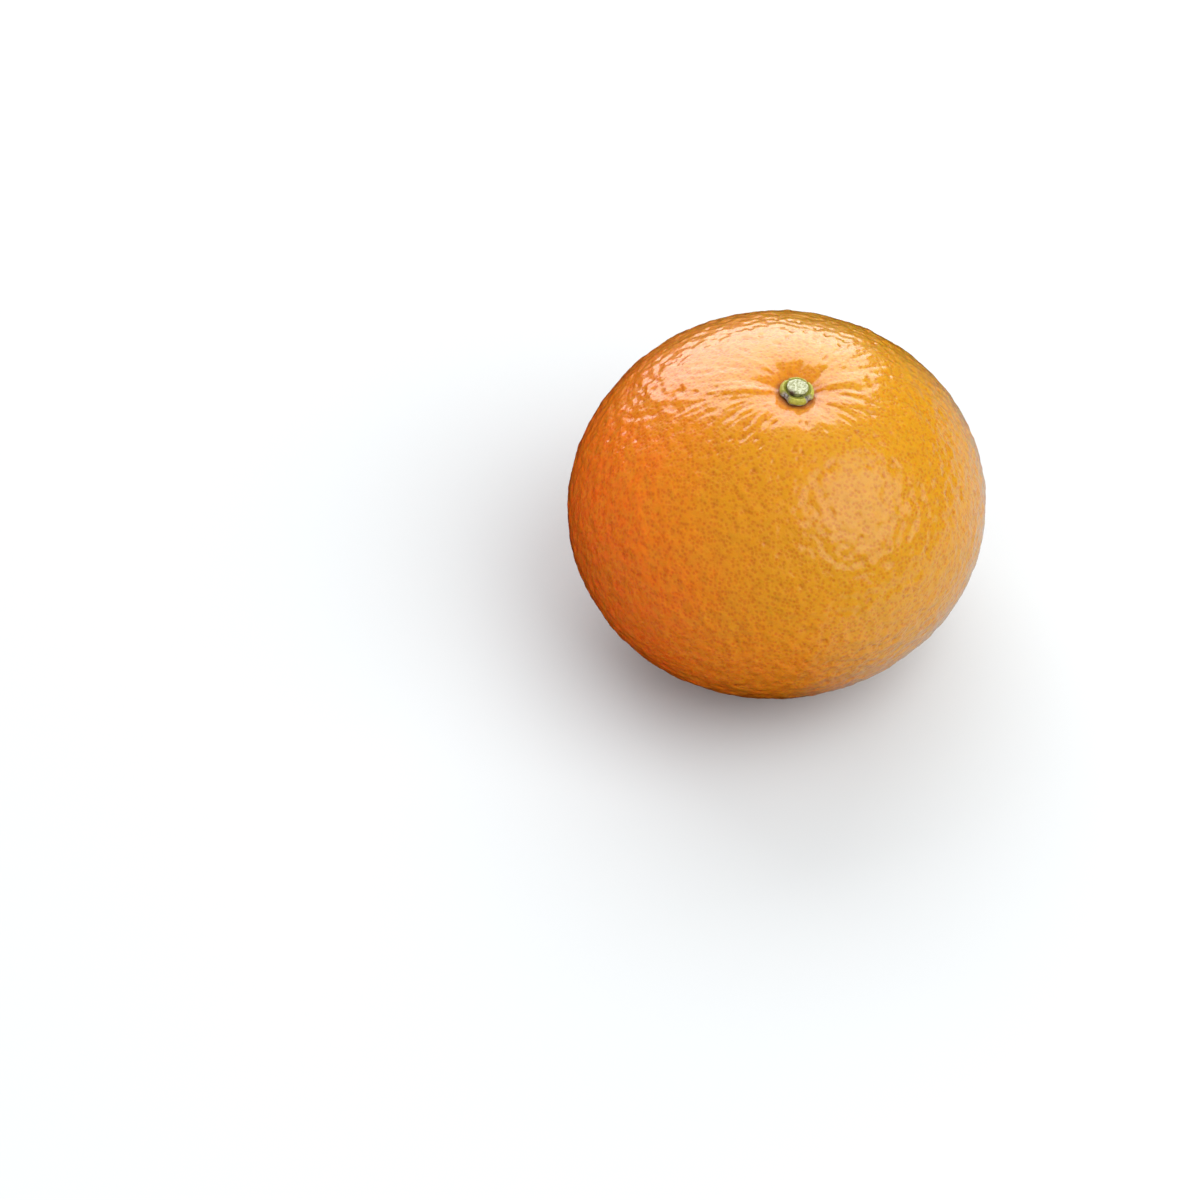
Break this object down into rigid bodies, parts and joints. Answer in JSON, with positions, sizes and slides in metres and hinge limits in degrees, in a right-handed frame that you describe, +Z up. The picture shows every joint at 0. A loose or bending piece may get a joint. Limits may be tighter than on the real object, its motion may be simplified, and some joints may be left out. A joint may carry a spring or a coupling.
{
  "type": "mandarin",
  "caption": "Whole ripe mandarin, a round orange citrus fruit slightly flattened top to bottom, with its green calyx and cut stem stub, resting on a small flat spot.",
  "frame": {"origin": "centre of the fruit's outline on the plane it rests on", "axes": "+Z up from the flat spot towards the stem end, -Y towards the viewer, +X to the viewer's right"},
  "size_m": [0.07, 0.07, 0.0567],
  "materials": {
    "peel": "waxy citrus peel with fine oil glands, satin gloss",
    "calyx": "dry yellow-green sepals with grey corky edges, matt",
    "stem": "dry pale green cut end, matt"
  },
  "bodies": {
    "root": {"fruit": "peel", "calyx": "calyx", "stem_stub": "stem"}
  },
  "joints": []
}
